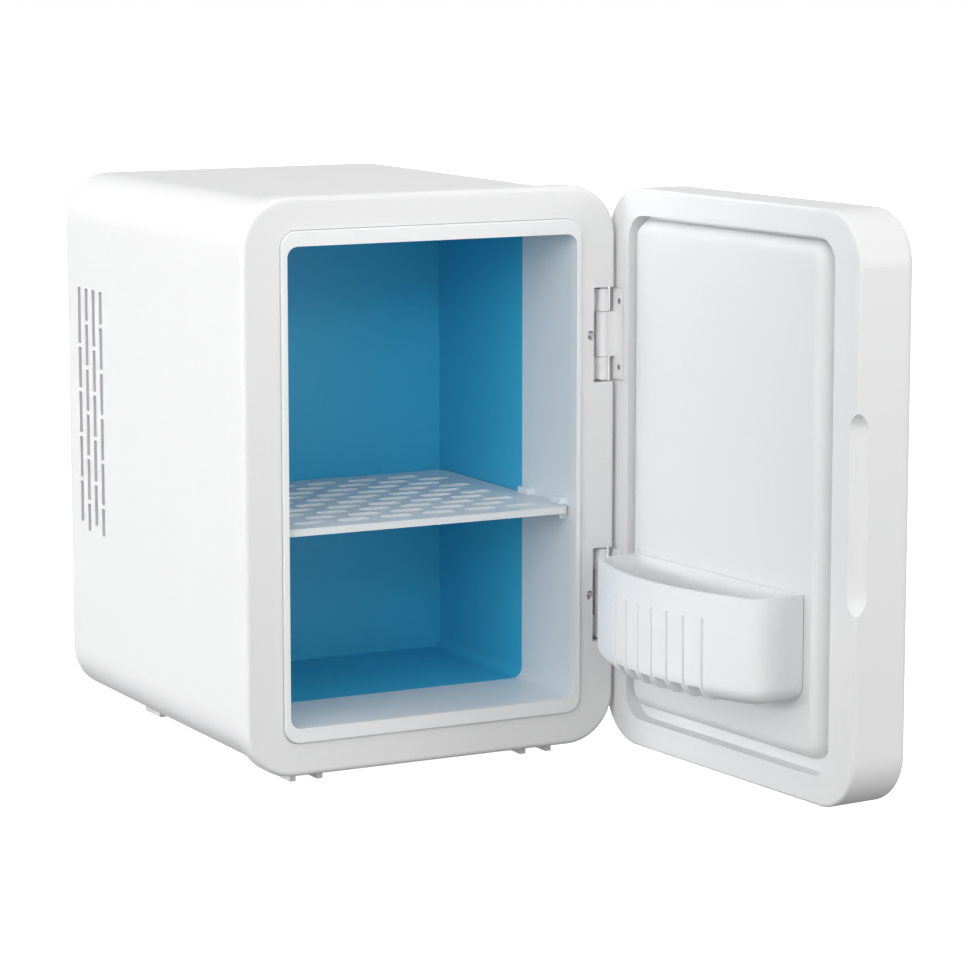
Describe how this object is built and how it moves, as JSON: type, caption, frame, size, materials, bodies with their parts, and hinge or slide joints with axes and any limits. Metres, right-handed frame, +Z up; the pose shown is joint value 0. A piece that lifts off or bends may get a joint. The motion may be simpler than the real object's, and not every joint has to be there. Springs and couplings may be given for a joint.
{
  "type": "mini fridge",
  "caption": "Compact thermoelectric fridge: rounded cabinet, hinged door with basket, sliding slotted shelf, cold box, rear fan cooling unit.",
  "frame": {"origin": "on the surface the feet stand on, under the middle of the fridge with its door open at rest", "axes": "+X to the right as seen from the front, +Y towards the back, +Z up; the opening faces -Y"},
  "size_m": [0.2282, 0.3953, 0.26],
  "materials": {
    "white_shell": "satin white",
    "white_frame": "satin white",
    "liner_plastic": "cool white, lightly glossy",
    "cold_box_blue": "blue coated aluminium",
    "foam": "expanded foam",
    "bare_aluminium": "machined",
    "ceramic": "white ceramic",
    "steel": "plated",
    "black_plastic": "fine moulded texture",
    "circuit_board": "solder mask green",
    "rear_plastic": "fine texture",
    "shelf_white": "cool white",
    "door_shell": "satin white",
    "door_panel": "satin white",
    "door_plug": "satin white",
    "basket_white": "glossy cool white",
    "magnet": "black ferrite",
    "hinge_white": "white moulded",
    "foot_white": "white moulded"
  },
  "bodies": {
    "cabinet": {"ac_inlet": "black_plastic", "board_posts": "white_shell", "cabinet_insulation": "foam", "cabinet_shell": "white_shell", "clamp_screws": "steel", "cold_box": "cold_box_blue", "control_board": "circuit_board", "cooling_block": "bare_aluminium", "dc_socket": "black_plastic", "fan_housing": "black_plastic", "fan_screws": "steel", "foot_front_left": "foot_white", "foot_front_right": "foot_white", "foot_rear_left": "foot_white", "foot_rear_right": "foot_white", "frame_magnet": "magnet", "front_frame": "white_frame", "heat_sink": "bare_aluminium", "hinge_lower_cabinet_leaf": "hinge_white", "hinge_pin_lower": "steel", "hinge_pin_upper": "steel", "hinge_screws_cabinet": "steel", "hinge_upper_cabinet_leaf": "hinge_white", "inner_liner": "liner_plastic", "peltier_module": "ceramic", "rear_cover": "rear_plastic", "rear_cover_screws": "steel", "switch_housing": "black_plastic"},
    "door": {"door_outer_shell": "door_shell", "door_inner_panel": "door_panel", "door_plug_panel": "door_plug", "door_insulation": "foam", "door_magnet": "magnet", "hinge_screws_door": "steel", "hinge_lower_door_leaf": "hinge_white", "hinge_upper_door_leaf": "hinge_white"},
    "basket": {"door_basket": "basket_white"},
    "shelf": {"shelf": "shelf_white"},
    "fan": {"fan_rotor": "black_plastic"},
    "mode_rocker": {"mode_rocker": "black_plastic"}
  },
  "joints": [
    {"name": "door_hinge", "type": "hinge", "parent": "cabinet", "child": "door", "pos_m": [0.06631, -0.01838, 0.1325], "axis": [0, 0, 1], "range_deg": [-94.5, 3.5]},
    {"name": "basket_lift", "type": "slide", "parent": "door", "child": "basket", "axis": [0, 0, 1], "range_m": [0, 0.01]},
    {"name": "shelf_slide", "type": "slide", "parent": "cabinet", "child": "shelf", "axis": [0, -1, 0], "range_m": [0, 0.1]},
    {"name": "fan_spin", "type": "hinge", "parent": "cabinet", "child": "fan", "pos_m": [-0.02119, 0.16762, 0.153], "axis": [0, 1, 0], "continuous": true},
    {"name": "mode_switch_tilt", "type": "hinge", "parent": "cabinet", "child": "mode_rocker", "pos_m": [-0.0652, 0.19282, 0.0545], "axis": [0, 0, 1], "range_deg": [-9, 9]}
  ]
}
